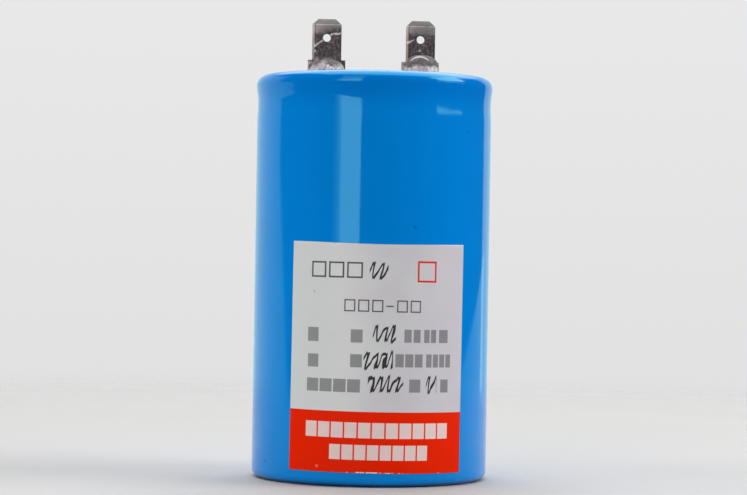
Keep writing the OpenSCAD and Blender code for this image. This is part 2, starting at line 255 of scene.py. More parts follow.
def modify(piece, kind, **settings):
    """Adds a modifier, sets it and applies it."""
    modifier = piece.modifiers.new(kind.lower(), kind)
    for name, value in settings.items():
        setattr(modifier, name, value)
    bpy.context.view_layer.objects.active = piece
    bpy.ops.object.modifier_apply(modifier=modifier.name)


def group(piece, name, weight):
    """A vertex group in which each vertex weighs what the function gives for its place."""
    made = piece.vertex_groups.new(name=name)
    for vertex in piece.data.vertices:
        made.add([vertex.index], weight(vertex.co), "REPLACE")
    return name


def shade_smooth(piece, angle):
    """Smooth shading, but for edges sharper than that many degrees."""
    bpy.ops.object.select_all(action="DESELECT")
    piece.select_set(True)
    bpy.context.view_layer.objects.active = piece
    bpy.ops.object.shade_smooth_by_angle(angle=math.radians(angle))
    piece.select_set(False)


def recalculate(piece):
    """Merges doubles and turns all faces outwards."""
    with editing(piece):
        bpy.ops.mesh.select_all(action="SELECT")
        bpy.ops.mesh.remove_doubles(threshold=1e-7)
        bpy.ops.mesh.normals_make_consistent(inside=False)


def arc(centre_r, centre_z, radius, start, end, steps):
    """Points on an arc of a half-section: distance from the axis and height. Angles are in degrees."""
    turns = [math.radians(start + (end - start) * i / steps) for i in range(steps + 1)]
    return [(centre_r + radius * math.cos(t), centre_z + radius * math.sin(t)) for t in turns]


def lathe(name, section, steps):
    """Spins a half-section round the axis, as drawn point by point from its first end."""
    piece = primitive("plane", name, size=MM, location=(section[0][0], 0, section[0][1]))
    with editing(piece):
        bpy.ops.mesh.select_all(action="SELECT")
        bpy.ops.mesh.merge(type="CENTER")
        for (r, z), (next_r, next_z) in zip(section, section[1:]):
            extrude((next_r - r, 0, next_z - z))
        bpy.ops.mesh.select_all(action="SELECT")
        bpy.ops.mesh.spin(steps=steps, angle=2 * math.pi, center=(0, 0, 0), axis=(0, 0, 1))
    return piece


def near(value, middle, half):
    """1 at the middle, falling smoothly to 0 at that half-width."""
    share = min(abs(value - middle) / half, 1)
    return (1 - share * share) ** 2


def ripple(piece, name, size, depth, weight=None):
    """Presses the surface in here and there, never out, so that the piece keeps its size."""
    texture = bpy.data.textures.new(name, "CLOUDS")
    texture.noise_scale = size
    modify(piece, "DISPLACE", texture=texture, strength=-depth, mid_level=0,
           vertex_group=group(piece, name, weight) if weight else "")


def stand(piece, slot, finish, *nodes):
    """A finished piece: it rides on the body, has its finish and stands for the named CAD nodes."""
    piece.data.materials.clear()
    piece.data.materials.append(finish)
    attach(piece, "root")
    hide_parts(*nodes)


# ---------------------------------------------------------------- making finishes

class Value:
    """An output in a finish. Arithmetic on it adds Math nodes."""

    def __init__(self, finish, socket):
        self.finish = finish
        self.socket = socket

    def __add__(self, other):
        return self.finish.math("ADD", self, other)

    def __sub__(self, other):
        return self.finish.math("SUBTRACT", self, other)

    def __rsub__(self, other):
        return self.finish.math("SUBTRACT", other, self)

    def __mul__(self, other):
        return self.finish.math("MULTIPLY", self, other)

    def __truediv__(self, other):
        return self.finish.math("DIVIDE", self, other)

    def __pow__(self, other):
        return self.finish.math("POWER", self, other)

    def __abs__(self):
        return self.finish.math("ABSOLUTE", self)

    __radd__ = __add__
    __rmul__ = __mul__


class Finish:
    """One material, made of nodes. Lengths in it are in millimetres, on the object's own coordinates."""

    def __init__(self, name, owner=None):
        self.material = owner or bpy.data.materials.new(name)
        self.material.use_nodes = True
        self.tree = self.material.node_tree
        self.tree.nodes.clear()

    def node(self, kind, settings=None, sockets=None, output=0):
        """Adds a node of that type and returns one of its outputs. Settings are set first."""
        made = self.tree.nodes.new(kind)
        for name, value in (settings or {}).items():
            setattr(made, name, value)
        for name, value in (sockets or {}).items():
            if isinstance(value, Value):
                self.tree.links.new(value.socket, made.inputs[name])
            else:
                made.inputs[name].default_value = value
        return None if output is None else Value(self, made.outputs[output])

    def math(self, operation, *terms):
        """A Math node on those terms, in that order."""
        return self.node("ShaderNodeMath", {"operation": operation}, dict(enumerate(terms)))

    def along(self, vector, direction):
        """How far a vector reaches along a direction."""
        settings = {"operation": "DOT_PRODUCT"}
        return self.node("ShaderNodeVectorMath", settings, {0: vector, 1: direction}, "Value")

    def place(self):
        """The point on the object, in millimetres."""
        metres = self.node("ShaderNodeTexCoord", output="Object")
        return self.node("ShaderNodeVectorMath", {"operation": "SCALE"}, {0: metres, "Scale": 1 / MM})

    def axes(self, place):
        """The three coordinates of a point."""
        parts = self.node("ShaderNodeSeparateXYZ", None, {0: place})
        return [Value(self, parts.socket.node.outputs[i]) for i in range(3)]

    def joined(self, x, y, z):
        """A point from its three coordinates."""
        return self.node("ShaderNodeCombineXYZ", None, {0: x, 1: y, 2: z})

    def noise(self, place, size, detail=2, roughness=0.5, distortion=0):
        """Noise from 0 to 1 with spots about that many millimetres across."""
        sockets = {"Vector": place, "Scale": 1 / size, "Detail": detail,
                   "Roughness": roughness, "Distortion": distortion}
        return self.node("ShaderNodeTexNoise", {"normalize": True}, sockets)

    def step(self, value, low, high):
        """0 below low, 1 above high, and smooth between them. It falls instead where low is the larger."""
        sockets = {"Value": value, "From Min": low, "From Max": high}
        return self.node("ShaderNodeMapRange", {"interpolation_type": "SMOOTHSTEP"}, sockets)

    def between(self, value, low, high, soft=0.05):
        """1 between low and high, with soft edges."""
        return self.step(value, low - soft, low + soft) * self.step(value, high + soft, high - soft)

    def mix(self, factor, first, second):
        """A colour between two colours."""
        return self.node("ShaderNodeMix", {"data_type": "RGBA"}, {0: factor, 6: first, 7: second}, 2)

    def bump(self, height, depth):
        """A normal on which a height of 1 stands out by depth, in millimetres."""
        return self.node("ShaderNodeBump", None, {"Height": height, "Distance": depth * MM})

    def surface(self, **sockets):
        """Ends the finish in one Principled shader. Socket names are written with underscores."""
        named = {name.replace("_", " ").title().replace("Ior", "IOR"): value
                 for name, value in sockets.items()}
        shader = self.node("ShaderNodeBsdfPrincipled", None, named)
        self.node("ShaderNodeOutputMaterial", None, {"Surface": shader}, None)
        return self.material


def across(x, y):
    """Distance from the origin, from two coordinates."""
    return (x * x + y * y) ** 0.5


def spot(f, u, v, place_u, place_v, radius):
    """A small round spot."""
    return f.step(across(u - place_u, v - place_v), radius * 1.2, radius * 0.8)


# ---------------------------------------------------------------- sleeve

def wall_r(z):
    """Radius of the sleeve's outside between its roundings: straight, then the waist, then the flare."""
    rise = z - WAIST_Z
    if rise < 0:
        return CASE_R - WAIST_DEPTH * (1 + math.cos(math.pi * min(-rise / WAIST_BELOW, 1))) / 2
    whole_rise = FLARE_TOP_Z - WAIST_Z
    growth = FLARE_TOP_R - (CASE_R - WAIST_DEPTH)
    end_slope = math.tan(FLARE_LEAN) * whole_rise
    share = rise / whole_rise
    return (CASE_R - WAIST_DEPTH + growth * share ** 2 * (3 - 2 * share)
            + end_slope * share ** 2 * (share - 1))


def sleeve_section():
    """Half-section of the sleeve's outside, from the edge under the base to the edge inside the rim."""
    rim_r, rim_z = RIM_OUT_R - RIM_R, CREST_Z - RIM_R
    curl_r, curl_z = rim_r - CREST_FLAT, CREST_Z - CURL_R
    spread_z = WAIST_Z - WAIST_SPREAD
    lap_steps = 8
    lap = [(CASE_R - LAP + LAP * i / lap_steps, 0) for i in range(lap_steps // 2 + 1)]
    base = arc(CASE_R - BASE_R, BASE_R, BASE_R, -90, 0, steps=8)
    heights = [BASE_R + (spread_z - BASE_R) * i / WALL_ROWS for i in range(1, WALL_ROWS + 1)]
    heights += [spread_z + (FLARE_TOP_Z - WAIST_Z + WAIST_SPREAD) * i / WAIST_ROWS
                for i in range(1, WAIST_ROWS)]
    wall = [(wall_r(z), z) for z in heights]
    rim = arc(rim_r, rim_z, RIM_R, -math.degrees(FLARE_LEAN), 90, steps=20)
    end = 90 + math.degrees(math.asin(OVERRUN / CURL_R))
    return lap + base + wall + rim + arc(curl_r, curl_z, CURL_R, 90, end, steps=3)


def at_waist(place):
    """How much a point takes part in the waist's waves."""
    return near(place.z, WAIST_Z, WAIST_SPREAD)


def at_dent(place):
    """How much a point takes part in the shallow dent under the waist, at the front."""
    turn = math.atan2(place.x, -place.y)
    return near(place.z, WAIST_Z - DENT_DROP, DENT_H) * near(turn, DENT_TURN, DENT_SWEEP)


def at_lap(place):
    """How much a point takes part in the pleats of the lap under the base."""
    return near(place.z, 0, MM) * near(math.hypot(place.x, place.y), CASE_R - LAP, PLEAT_REACH)


def make_sleeve():
    """The shrunk sleeve: pulled in over the groove, uneven there, and lapped over the rim and the base."""
    piece = lathe("sleeve_skin", sleeve_section(), steps=256)
    recalculate(piece)
    ripple(piece, "long_waves", LONG_WAVE_SIZE, LONG_WAVE_DEPTH)
    ripple(piece, "waist_waves", WAIST_WAVE_SIZE, WAIST_WAVE_DEPTH, at_waist)
    dent = group(piece, "groove_dent", at_dent)
    modify(piece, "DISPLACE", strength=-DENT_DEPTH, mid_level=0, vertex_group=dent)
    ripple(piece, "lap_pleats", PLEAT_SIZE, PLEAT_DEPTH, at_lap)
    modify(piece, "SOLIDIFY", thickness=SLEEVE_T, offset=-1)
    shade_smooth(piece, 50)
    stand(piece, "sleeve", blue_vinyl(), "shrink_sleeve")


# Small dark marks on the sleeve's front: place across, height and radius, in millimetres
SLEEVE_MARKS = ((18.6, 74.3, 0.2), (-22.7, 4.2, 0.3), (7.1, 53.9, 0.35))


def blue_vinyl():
    """Glossy blue sleeve: an even colour, with painted shade that makes it a little deeper on the rim and
    dark where it turns under the foot, with faint orange peel, a few specks and marks, and finger smudges."""
    f = Finish("blue_vinyl")
    p = f.place()
    x, y, z = f.axes(p)
    waist_z, rim_soft = WAIST_Z / MM, 3
    cloud = f.noise(p, 22, detail=3)
    colour = f.mix(f.step(cloud, 0.3, 0.7), BLUE, BLUE_LIGHT)
    # Painted shade: the sleeve is coloured a deeper blue above the waist, standing in for the lesser light
    # on the rim.
    rim = f.step(z, waist_z - rim_soft, waist_z + rim_soft)
    colour = f.mix(rim, colour, BLUE_RIM_SHADE)
    # Painted shade: the outer rounding where the sleeve turns under the foot is coloured dark navy, as the
    # contact shadow at the base.
    foot = f.step(z, 1.1, 0.2) * f.step(across(x, y), 23.4, 24.2)
    colour = f.mix(foot * 0.85, colour, BLUE_FOOT_SHADE)
    specks = f.step(f.noise(p, 0.55, detail=1), 0.80, 0.84) * f.step(f.noise(p, 7, detail=1), 0.52, 0.6)
    colour = f.mix(specks * 0.5, colour, BLUE_SPECK)
    front = f.step(y, 0, -1)
    for place_x, place_z, radius in SLEEVE_MARKS:
        colour = f.mix(spot(f, x, z, place_x, place_z, radius) * front * 0.5, colour, BLUE_MARK)
    smudge = f.step(f.noise(p, 9, detail=3, roughness=0.6, distortion=0.6), 0.52, 0.75)
    peel = f.noise(p, 0.7)
    return f.surface(base_color=colour, roughness=0.07 + smudge * 0.05 + specks * 0.3,
                     specular_tint=BLUE_GLOSS, ior=1.5, normal=f.bump(peel, 0.0015))


# ---------------------------------------------------------------- label

def make_label():
    """The label: a strip of a cylinder's wall, cut square, a little askew, dipped on top, and thick."""
    wrap = LABEL_W / CASE_R / 2
    half_h = LABEL_H / 2
    middle = LABEL_Z + half_h
    piece = primitive("cylinder", "label_sheet", vertices=360, radius=CASE_R,
                      depth=LABEL_H + 2 * LABEL_SPARE, end_fill_type="NOTHING", location=(0, 0, middle))
    lean = Vector((math.sin(LABEL_TILT), 0, math.cos(LABEL_TILT)))
    turn = Matrix.Rotation(LABEL_TILT, 3, "Y")
    with editing(piece):
        for side in (-1, 1):
            cut((0, 0, middle + side * half_h), side * lean, clear_outer=True)
            cut((0, 0, middle), turn @ Vector((side * math.cos(wrap), math.sin(wrap), 0)), clear_outer=True)
        for i in range(1, LABEL_ROWS):
            cut((0, 0, middle - half_h + LABEL_H * i / LABEL_ROWS), lean)
    dip = group(piece, "top_dip", lambda p: max(p.z - middle, 0) / half_h * near(p.x, 0, LABEL_W / 2))
    modify(piece, "DISPLACE", direction="Z", strength=-LABEL_DIP, mid_level=0, vertex_group=dip)
    modify(piece, "SOLIDIFY", thickness=LABEL_T, offset=1)
    shade_smooth(piece, 40)
    stand(piece, "label", printed_label(), "type_label")


# Print on the label, in millimetres from its middle line and its lower edge.
# Runs of filled blocks: left, low, count, pitch and height
DARK_RUNS = (
    (-15.5, 26.9, 1, 2.8, 2.9), (-6, 26.9, 1, 2.8, 2.7), (5.2, 27.1, 1, 1.9, 2.7), (7.2, 27.1, 1, 1.9, 2.7),
    (9.6, 27.1, 2, 1.6, 2.7), (13.2, 27.1, 1, 2.6, 2.7),
    (-15.4, 21.6, 1, 2.8, 2.7), (-6, 21.8, 1, 2.8, 2.7), (3.4, 22, 3, 2.1, 2.7), (10.2, 22, 4, 1.6, 2.7),
    (-15.5, 16.6, 4, 3, 2.7), (6.5, 16.8, 1, 2.8, 2.7), (13.8, 16.8, 1, 2.3, 2.7),
)
PALE_RUNS = ((-15.5, 7.2, 11, 2.88, 3.2), (-10, 2.7, 8, 2.66, 3.1))

# Runs of outlined boxes: left, low, count, pitch, height and width of line
BOX_RUNS = (
    (-15.2, 40.2, 3, 3.9, 3.3, 0.34), (-7.8, 33.3, 3, 2.9, 2.5, 0.26), (3.2, 33.3, 2, 2.9, 2.5, 0.26),
)

# Pen waves: left, right and height of the row's middle
PEN_WAVES = ((-2.4, 1.5, 41.8), (-1.4, 3.4, 28.7), (-3.2, 2.9, 23.2), (-2.2, 5.2, 18.3), (10.3, 12.8, 18.3))
PEN_SWING = 1.35
PEN_LENGTH = 1.75
PEN_WIDTH = 0.23
PEN_SLANT = 0.32


def box(f, u, v, left, right, low, high):
    """A filled box."""
    return f.between(u, left, right) * f.between(v, low, high)


def blocks(f, u, v, gap, left, low, count, pitch, height):
    """A run of equal blocks, from the left, standing on a line."""
    inside = box(f, u, v, left, left + count * pitch - gap, low, low + height)
    along = f.math("FLOORED_MODULO", u - left, pitch)
    return inside * f.between(along, 0, pitch - gap)


def outlines(f, u, v, left, low, count, pitch, height, line, margin=0.3):
    """A run of equal outlined boxes."""
    along = f.math("FLOORED_MODULO", u - left, pitch)
    run = f.between(u, left, left + count * pitch)
    outer = box(f, along, v, margin, pitch - margin, low, low + height)
    inner = box(f, along, v, margin + line, pitch - margin - line, low + line, low + height - line)
    return run * (outer - inner)


def pen_wave(f, u, v, wander, left, right, middle):
    """A slanted, uneven wavy pen stroke along a row, as wide when it climbs as when it turns."""
    turns = 2 * math.pi / PEN_LENGTH
    phase = (u - (v - middle) * PEN_SLANT + wander * 2.2 - left) * turns
    height = PEN_SWING * (1 + wander * 1.1)
    slope = f.math("COSINE", phase) * height * turns
    reach = (1 + slope * slope) ** 0.5 * PEN_WIDTH
    off = abs(v - middle - f.math("SINE", phase) * height - (u - left) * 0.04)
    return f.step(off / reach, 1.15, 0.85) * f.between(u, left, right, 0.1)


def printed_label():
    """Satin silver label with a painted sheen from left to right, a red field, form boxes, plain blocks for
    print and pen waves, worn at its lower edge, with a painted highlight along its top edge."""
    f = Finish("printed_label")
    p = f.place()
    x, y, z = f.axes(p)
    label_h, red_top = LABEL_H / MM, RED_TOP / MM
    arc_u = f.math("ARCTAN2", x, 0 - y) * ((CASE_R + LABEL_T) / MM)
    rise = z - (LABEL_Z + LABEL_H / 2) / MM
    u = arc_u - rise * LABEL_TILT
    v = rise + arc_u * LABEL_TILT + label_h / 2
    fine = f.noise(p, 0.35)
    broad = f.noise(p, 12)
    grain = f.noise(f.joined(u * 0.25, v, 0), 0.5)
    # Painted sheen: the silver turns from a lighter greenish grey at the left to a darker lavender grey at
    # the right, standing in for its reflections and the light on it.
    silver = f.mix(f.step(u + (broad - 0.5) * 30, -16, 18), SHEEN_SILVER_LEFT, SHEEN_SILVER_RIGHT)
    silver = f.mix(grain * 0.12, silver, SILVER_GRAIN)

    # Print on the silver
    ink = sum(blocks(f, u, v, 0.3, *run) for run in DARK_RUNS)
    colour = f.mix(ink * 0.62, silver, BLOCK_INK)
    lines = sum(outlines(f, u, v, *run) for run in BOX_RUNS) + box(f, u, v, 1.2, 2.8, 34.4, 34.66)
    colour = f.mix(lines * 0.9, colour, LINE_INK)
    wander = f.noise(f.joined(u * 0.5, v * 0.12, 0), 1, detail=1) - 0.5
    pen = sum(pen_wave(f, u, v, wander, *wave) for wave in PEN_WAVES)
    colour = f.mix(pen * 0.95, colour, PEN_INK)
    square = box(f, u, v, 7.8, 12.2, 39.6, 44) - box(f, u, v, 8.2, 11.8, 40, 43.6)
    colour = f.mix(square, colour, SQUARE_RED)

    # The red field and its print
    field = f.step(v, red_top + 0.05, red_top - 0.05)
    colour = f.mix(field, colour, f.mix(fine, RED, RED_LIGHT))
    pale = sum(blocks(f, u, v, 0.32, *run) for run in PALE_RUNS)
    colour = f.mix(pale * 0.92, colour, PALE_PRINT)

    # Wear, and a painted highlight along the top edge
    ring = spot(f, u, v, -12.7, 1.1, 0.3) - spot(f, u, v, -12.7, 1.1, 0.17)
    colour = f.mix(ring * 0.6, colour, PINK_RING)
    # Painted highlight: a thin white line along the right part of the label's top edge.
    label_edge_highlight = f.step(v, label_h - 0.3, label_h - 0.15) * f.step(u, 1, 5)
    colour = f.mix(label_edge_highlight * 0.6, colour, LABEL_EDGE_HIGHLIGHT)
    faint = spot(f, u, v, -14.2, 37.2, 0.25) + spot(f, u, v, -9.9, label_h, 0.4)
    colour = f.mix(faint * 0.35, colour, FAINT_GREY)
    flakes = f.step(f.noise(p, 0.6), 0.46, 0.52) * f.step(v, 0.3, 0.16) * f.between(u, -4.2, 3.4, 0.3)
    worn_edge = f.step(f.noise(p, 0.7), 0.62, 0.68) * f.step(v, 0.18, 0.1)
    colour = f.mix(flakes + worn_edge, colour, BARE_PAPER)
    metal = (1 - field) * (1 - ink * 0.6) * (1 - pen) * (1 - square) * 0.12
    return f.surface(base_color=colour, metallic=metal, roughness=0.5 + fine * 0.08 - field * 0.06,
                     specular_ior_level=0.04, normal=f.bump(grain, 0.002))


# ---------------------------------------------------------------- terminals

def drill(piece, middle, axis, diameter):
    """A round hole right through the piece."""
    turn = {"Y": (math.pi / 2, 0, 0), "Z": (0, 0, 0)}[axis]
    drill_bit = primitive("cylinder", "drill_bit", vertices=48, radius=diameter / 2, depth=3 * TAB_T,
                          location=middle, rotation=turn)
    modify(piece, "BOOLEAN", operation="DIFFERENCE", object=drill_bit, solver="EXACT")
    bpy.data.objects.remove(drill_bit)


def make_terminal(node):
    """One folded strip: the blade with its coined tip, the shoulders, the bend and the foot."""
    low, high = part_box(node)
    x, width = (low.x + high.x) / 2, high.x - low.x
    shoulder_z = high.z - TAB_L
    bend_out_r = BEND_IN_R + TAB_T
    bend_y, bend_z = TAB_T / 2 - bend_out_r, low.z + bend_out_r
    piece = primitive("cube", node + "_strip", size=1, location=(x, 0, (bend_z + shoulder_z) / 2),
                      scale=(width, TAB_T, shoulder_z - bend_z))
    with editing(piece):
        for side in (-1, 1):
            cut((x + side * TAB_W / 2, 0, 0), (1, 0, 0))
        pick_faces(piece, lambda middle, normal: normal.z > 0.9 and abs(middle.x - x) < TAB_W / 4)
        extrude((0, 0, TAB_L - TIP_BEVEL_H))
        extrude((0, 0, TIP_BEVEL_H))
        bpy.ops.transform.resize(value=(1, TIP_T / TAB_T, 1))
        pick_faces(piece, lambda middle, normal: normal.z < -0.9)
        bpy.ops.mesh.spin(steps=10, angle=math.pi / 2, center=(x, bend_y, bend_z), axis=(1, 0, 0))
        extrude((0, low.y - bend_y, 0))
        for side in (-1, 1):
            corner = (x + side * (TAB_W / 2 - TIP_CUT_W), 0, high.z)
            cut(corner, (side * TIP_CUT_H, 0, TIP_CUT_W), clear_outer=True, use_fill=True)
    recalculate(piece)
    drill(piece, (x, 0, high.z - HOLE_DROP), "Y", HOLE_D)
    eyelet_low, eyelet_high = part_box(node.replace("terminal", "eyelet"))
    eyelet_y = (eyelet_low.y + eyelet_high.y) / 2
    drill(piece, (x, eyelet_y, low.z + TAB_T / 2), "Z", FOOT_HOLE_D)
    modify(piece, "BEVEL", width=EDGE_BEVEL, segments=2, limit_method="ANGLE", angle_limit=math.radians(30))
    shade_smooth(piece, 35)
    stand(piece, "tinned", tinned_strip(node), node)


# What differs between the blades, bevel_shade being the strength of the painted shade on the tip's bevel.
# Places are in millimetres from the hole; a scratch is start, end and width
BLADES = {
    "left": {
        "tarnish_top": 1.4,
        "tarnish_slant": 0.30,
        "bevel_shade": 0.2,
        "scratches": (((-2.6, -1.8), (-2.0, -1.3), 0.5), ((-1.6, -0.95), (-1.05, -0.65), 0.42),
                      ((0.9, 0.7), (1.2, 0.8), 0.4), ((1.5, 0.85), (2.1, 0.95), 0.48),
                      ((2.5, 0.9), (2.9, 1.0), 0.34), ((-2.6, -3), (-2.5, -2.8), 0.4)),
    },
    "right": {
        "tarnish_top": 1.15,
        "tarnish_slant": -0.03,
        "bevel_shade": 0.35,
        "scratches": (((-2.7, -0.55), (-1.5, -0.05), 0.3), ((-2.8, -0.7), (-2.5, -0.5), 0.45),
                      ((-0.3, -2.4), (-0.1, -2.3), 0.3)),
    },
}


def scratch(f, u, v, start, end, width):
    """A straight mark from one point to another, with round ends."""
    run_u, run_v = end[0] - start[0], end[1] - start[1]
    from_u, from_v = u - start[0], v - start[1]
    share = (from_u * run_u + from_v * run_v) / (run_u ** 2 + run_v ** 2)
    share = f.node("ShaderNodeClamp", None, {"Value": share, "Min": 0, "Max": 1})
    return f.step(across(from_u - share * run_u, from_v - share * run_v), width * 0.6, width * 0.4)


def tinned_strip(node):
    """Tinned brass strip: smooth grey at the tip, tarnished and mottled lower down, with scratches, painted
    shade on the bevel and in the groove, and painted highlights along the left edge and the bevel's lower
    line.
    """
    f = Finish(node + "_tin")
    p = f.place()
    x, y, z = f.axes(p)
    low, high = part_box(node)
    u = x - (low.x + high.x) / 2 / MM
    v = z - (high.z - HOLE_DROP) / MM
    side = node.split("_")[-1]
    blade = BLADES[side]
    mottle = f.noise(p, 0.9, detail=4, roughness=0.6, distortion=0.4)
    speckle = f.noise(p, 0.5, detail=4, roughness=0.75)
    streak = f.noise(f.joined(u, y, v * 0.16), 0.45)

    clean = f.mix(streak * 0.5 + mottle * 0.5, TIN_DARK, TIN_LIGHT)
    dull = f.mix(f.step(speckle, 0.40, 0.68), TARNISH_DARK, TARNISH_LIGHT)
    dull = f.mix(f.step(streak, 0.48, 0.66) * 0.7, dull, TARNISH_STREAK)
    shoulder_v = (HOLE_DROP - TAB_L) / MM
    shoulders = f.step(v, shoulder_v + 1, shoulder_v - 0.2)
    if side == "left":
        shoulders = shoulders * f.step(u, 2.2, 0.8)
    dull = f.mix(shoulders * f.step(mottle, 0.35, 0.6), dull, SHOULDER_TIN)
    tarnish_v = v + (mottle - 0.5) * 2.6 - u * blade["tarnish_slant"]
    tarnish = f.step(tarnish_v, blade["tarnish_top"] + 0.6, blade["tarnish_top"] - 0.5)
    colour = f.mix(tarnish, clean, dull)

    tip_v = (HOLE_DROP - TIP_BEVEL_H) / MM
    # Painted shade: the coined bevel at the tip is coloured darker, by each blade's bevel_shade.
    bevel = f.step(v, tip_v - 0.05, tip_v + 0.1)
    colour = f.mix(bevel * blade["bevel_shade"], colour, BEVEL_SHADE_TIN)
    half_w = TAB_W / MM / 2
    on_blade = f.step(v, shoulder_v - 0.1, shoulder_v + 0.5)
    # Painted highlight: a lighter band down the blade's left edge, where the edge catches the light.
    edge = f.step(u, 0.62 - half_w, 0.42 - half_w) * on_blade
    colour = f.mix(edge * 0.75, colour, TIN_EDGE_HIGHLIGHT)
    # Painted shade: the groove beside the left edge is coloured dark, on top of being pressed in by the
    # bump.
    groove = f.between(u, 0.5 - half_w, 0.66 - half_w) * on_blade * f.step(v, tip_v + 0.3, tip_v)
    colour = f.mix(groove * 0.7, colour, GROOVE_SHADE_TIN)
    # Painted highlight: a bright broken line where the bevel begins.
    ridge_highlight = f.between(v, tip_v - 0.12, tip_v + 0.04, 0.06) * f.step(f.noise(p, 0.8, detail=1), 0.3, 0.5)
    colour = f.mix(ridge_highlight * 0.8, colour, RIDGE_HIGHLIGHT_TIN)
    wobble = f.noise(p, 0.7) * 0.3 - 0.15
    bright = sum(scratch(f, u, v + wobble, *mark) for mark in blade["scratches"])
    bright = bright * f.step(f.noise(p, 0.35, roughness=0.7), 0.36, 0.46)
    colour = f.mix(bright * 0.9, colour, SCRATCH_TIN)
    height = mottle * 0.6 + speckle * 0.5 - bright * 0.8 - groove
    return f.surface(base_color=colour, metallic=0.55, roughness=0.45 + tarnish * 0.08 - bright * 0.2,
                     normal=f.bump(height, 0.05))


# ---------------------------------------------------------------- solder domes

def make_dome(node):
    """A lump of solder on the foot, drawn up against the blade, with the rings that it froze in."""
    low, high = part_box(node)
    x = (low.x + high.x) / 2
    foot_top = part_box(node.replace("solder_dome", "terminal"))[0].z + TAB_T
    radius = (high.x - low.x) / 2 * DOME_FIT
    rise = high.z - foot_top - DOME_SLACK
    turns = [math.radians(90 * i / DOME_ROWS) for i in range(1, DOME_ROWS)]
    shoulder = [(radius * math.sin(t) ** DOME_SQUARENESS, rise * math.cos(t) ** DOME_SQUARENESS)
                for t in turns]
    piece = lathe(node + "_lump", [(0, rise)] + shoulder + [(radius, 0), (0, 0)], steps=96)
    with editing(piece):
        bpy.ops.mesh.select_all(action="SELECT")
        bpy.ops.transform.translate(value=(x, low.y + radius, foot_top))
    recalculate(piece)
    with editing(piece):
        cut((x, -TAB_T / 2, foot_top), (0, 1, 0), clear_outer=True, use_fill=True)
    recalculate(piece)
    modify(piece, "REMESH", mode="VOXEL", voxel_size=DOME_VOXEL)
    ripple(piece, node + "_lumps", LUMP_SIZE, LUMP_DEPTH)
    ripple(piece, node + "_grit", GRIT_SIZE, GRIT_DEPTH)
    shade_smooth(piece, 60)
    stand(piece, "solder", frozen_solder(node), node)


# What differs between the domes: greys, painted lighter on the right dome to stand in for the light it gets,
# the grey of the painted arc highlight, strength of the flux, and where the painted shade of the crown
# begins and is full, as shares of the dome's height
DOMES = {
    "left": {
        "grey_dark": rgb(0.42, 0.39, 0.405),
        "grey_light": rgb(0.98, 0.95, 0.97),
        "arc_highlight_grey": rgb(0.80, 0.77, 0.77),
        "flux": 0.8,
        "crown": (0.74, 0.88),
    },
    "right": {
        # Painted light: the right dome's greys are set lighter than the left's.
        "grey_dark": rgb(0.72, 0.69, 0.70),
        "grey_light": rgb(1.0, 0.98, 0.99),
        "arc_highlight_grey": rgb(0.80, 0.79, 0.79),
        "flux": 0.5,
        "crown": (0.68, 0.76),
    },
}

# From one frozen ring to the next, as a share of the dome's reach
RING_PITCH = 0.22


def frozen_solder(node):
    """Solder that froze in rings, satin grey, with painted shade on the crown, painted glints on the rings,
    a painted highlight along an arc, and dull brown flux.
    """
    f = Finish(node + "_solder")
    p = f.place()
    x, _, z = f.axes(p)
    low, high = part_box(node)
    side = node.split("_")[-1]
    dome = DOMES[side]
    u = x - (low.x + high.x) / 2 / MM
    v = z - low.z / MM
    share_u = u / ((high.x - low.x) / 2 / MM)
    share_v = v / ((high.z - low.z) / MM)
    turn = f.noise(p, 1.6, distortion=0.5)
    patch = f.noise(p, 0.8, detail=3, roughness=0.6, distortion=0.6)
    fine = f.noise(p, 0.22, detail=3, roughness=0.6)
    blots = f.noise(p, 0.5, detail=3, roughness=0.7, distortion=0.4)
    reach = across(share_u, share_v) + (turn - 0.5) * 0.26
    rings = f.math("SINE", reach * (2 * math.pi / RING_PITCH)) * 0.5 + 0.5

    colour = f.mix(f.step(blots, 0.36, 0.64), dome["grey_dark"], dome["grey_light"])
    # Painted shade: the crown of the dome is coloured dark.
    crown = f.step(share_v + (turn - 0.5) * 0.16, *dome["crown"])
    colour = f.mix(crown * 0.85, colour, CROWN_SHADE)
    flux = f.step(patch, 0.46, 0.36) * f.step(fine, 0.35, 0.6)
    colour = f.mix(flux * dome["flux"], colour, FLUX)
    # Painted highlights: glints coloured onto the rings, away from the crown.
    glint = f.step(rings, 0.80, 0.98) * f.step(patch, 0.44, 0.58)
    colour = f.mix(glint * (1 - crown * 0.9), colour, PAINTED_GLINT)
    # Painted highlight: a pale arc on the left side of the left dome and near the top of the right dome.
    if side == "left":
        arc_highlight = f.between(reach, 0.80, 0.90, 0.03) * f.step(u, 0.2, -1.2) * 0.6
    else:
        from_peak = share_u + 0.16
        arc_highlight = f.between(share_v + from_peak * from_peak * 0.34, 0.90, 0.925, 0.012)
        arc_highlight = arc_highlight * f.between(u, -2.6, 1.2, 0.3)
    colour = f.mix(arc_highlight, colour, dome["arc_highlight_grey"])
    return f.surface(base_color=colour, metallic=0.15 * (1 - crown), specular_ior_level=0.08,
                     roughness=0.5 + flux * 0.2 - glint * 0.15 + crown * 0.3,
                     normal=f.bump(rings * 0.6 + patch * 0.8 + blots * 0.7 + fine * 0.4, 0.22))


# ---------------------------------------------------------------- finishes of the nodes that stay

